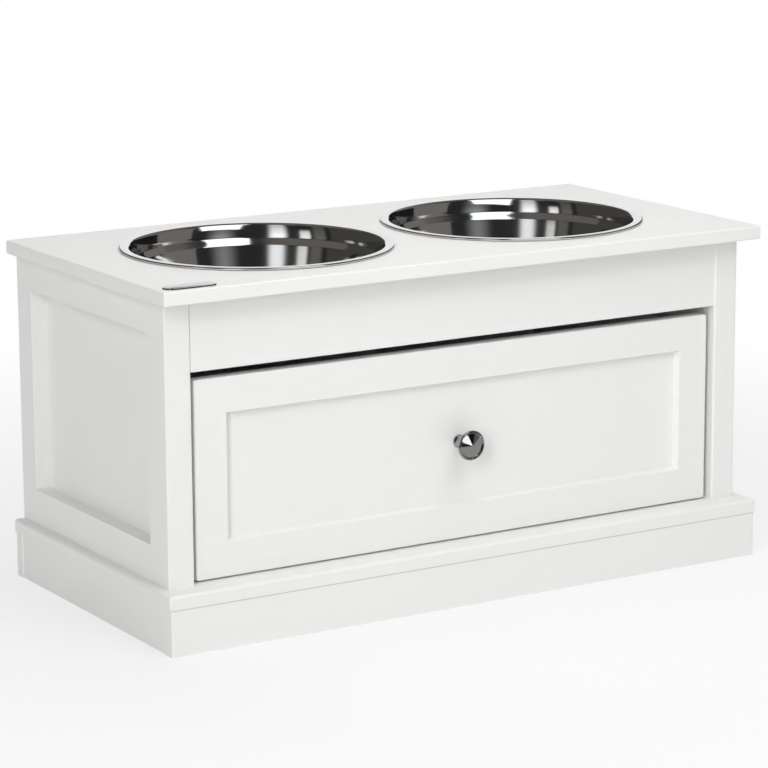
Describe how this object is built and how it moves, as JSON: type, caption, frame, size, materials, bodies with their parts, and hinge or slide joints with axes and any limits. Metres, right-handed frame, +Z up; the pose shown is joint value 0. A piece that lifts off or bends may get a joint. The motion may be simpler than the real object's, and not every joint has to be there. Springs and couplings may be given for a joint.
{
  "type": "elevated dog feeder with storage",
  "caption": "Low rectangular cabinet on a plinth, with lift-out round steel feeding bowls sunk in its flat top and a framed drawer on roller runners below.",
  "frame": {"origin": "on the floor, under the middle of the cabinet's outline", "axes": "+X along the front towards the right of someone who faces the drawer, +Y from the front to the back, +Z up"},
  "size_m": [0.6, 0.3, 0.3064],
  "materials": {
    "painted_mdf": "medium-density fibreboard, satin white paint",
    "bare_wood": "planed softwood, unpainted",
    "stainless_steel": "mirror-polished stainless steel inside the bowl",
    "chrome": "turned and chromed",
    "zinc_steel": "zinc-plated steel",
    "coated_steel": "white epoxy coating on folded sheet",
    "nylon": "natural white nylon"
  },
  "bodies": {
    "cabinet": {"top_panel": "painted_mdf", "front_stile_left": "painted_mdf", "front_stile_right": "painted_mdf", "back_stile_left": "painted_mdf", "back_stile_right": "painted_mdf", "side_top_rail_left": "painted_mdf", "side_top_rail_right": "painted_mdf", "side_bottom_rail_left": "painted_mdf", "side_bottom_rail_right": "painted_mdf", "side_panel_left": "painted_mdf", "side_panel_right": "painted_mdf", "front_rail": "painted_mdf", "back_rail": "painted_mdf", "back_panel": "painted_mdf", "back_panel_screws": "zinc_steel", "top_blocks": "bare_wood", "top_block_screws": "zinc_steel", "plinth_board": "painted_mdf", "plinth_front": "painted_mdf", "plinth_back": "painted_mdf", "plinth_side_left": "painted_mdf", "plinth_side_right": "painted_mdf", "plinth_blocks": "bare_wood", "base_screws": "zinc_steel", "cabinet_runner_left": "coated_steel", "cabinet_runner_right": "coated_steel", "cabinet_runner_screws": "zinc_steel", "cabinet_roller_pins": "zinc_steel"},
    "drawer": {"drawer_front": "painted_mdf", "drawer_side_left": "painted_mdf", "drawer_side_right": "painted_mdf", "drawer_back": "painted_mdf", "drawer_bottom": "painted_mdf", "drawer_bottom_screws": "zinc_steel", "drawer_back_screws": "zinc_steel", "drawer_runner_left": "coated_steel", "drawer_runner_right": "coated_steel", "drawer_runner_screws": "zinc_steel", "drawer_roller_pins": "zinc_steel", "knob": "chrome", "knob_screw": "zinc_steel"},
    "cabinet_roller_left": {"cabinet_roller_left": "nylon"},
    "cabinet_roller_right": {"cabinet_roller_right": "nylon"},
    "drawer_roller_left": {"drawer_roller_left": "nylon"},
    "drawer_roller_right": {"drawer_roller_right": "nylon"},
    "bowl_left": {"bowl_left": "stainless_steel"},
    "bowl_right": {"bowl_right": "stainless_steel"}
  },
  "joints": [
    {"name": "drawer_slide", "type": "slide", "parent": "cabinet", "child": "drawer", "axis": [0, -1, 0], "range_m": [0, 0.2]},
    {"name": "bowl_left_lift", "type": "slide", "parent": "cabinet", "child": "bowl_left", "axis": [0, 0, 1], "range_m": [0, 0.1]},
    {"name": "bowl_right_lift", "type": "slide", "parent": "cabinet", "child": "bowl_right", "axis": [0, 0, 1], "range_m": [0, 0.1]},
    {"name": "cabinet_roller_left_spin", "type": "hinge", "parent": "cabinet", "child": "cabinet_roller_left", "pos_m": [-0.25975, -0.098, 0.0687], "axis": [1, 0, 0], "range_deg": [0, 1274.24]},
    {"name": "drawer_roller_left_spin", "type": "hinge", "parent": "drawer", "child": "drawer_roller_left", "pos_m": [-0.25975, 0.1262, 0.0673], "axis": [1, 0, 0], "range_deg": [0, 1274.24]},
    {"name": "cabinet_roller_right_spin", "type": "hinge", "parent": "cabinet", "child": "cabinet_roller_right", "pos_m": [0.25975, -0.098, 0.0687], "axis": [1, 0, 0], "range_deg": [0, 1274.24]},
    {"name": "drawer_roller_right_spin", "type": "hinge", "parent": "drawer", "child": "drawer_roller_right", "pos_m": [0.25975, 0.1262, 0.0673], "axis": [1, 0, 0], "range_deg": [0, 1274.24]}
  ],
  "couplings": [
    {"joint": "cabinet_roller_left_spin", "follows": "drawer_slide", "rad_per_m": 111.11},
    {"joint": "drawer_roller_left_spin", "follows": "drawer_slide", "rad_per_m": 111.11},
    {"joint": "cabinet_roller_right_spin", "follows": "drawer_slide", "rad_per_m": 111.11},
    {"joint": "drawer_roller_right_spin", "follows": "drawer_slide", "rad_per_m": 111.11}
  ]
}
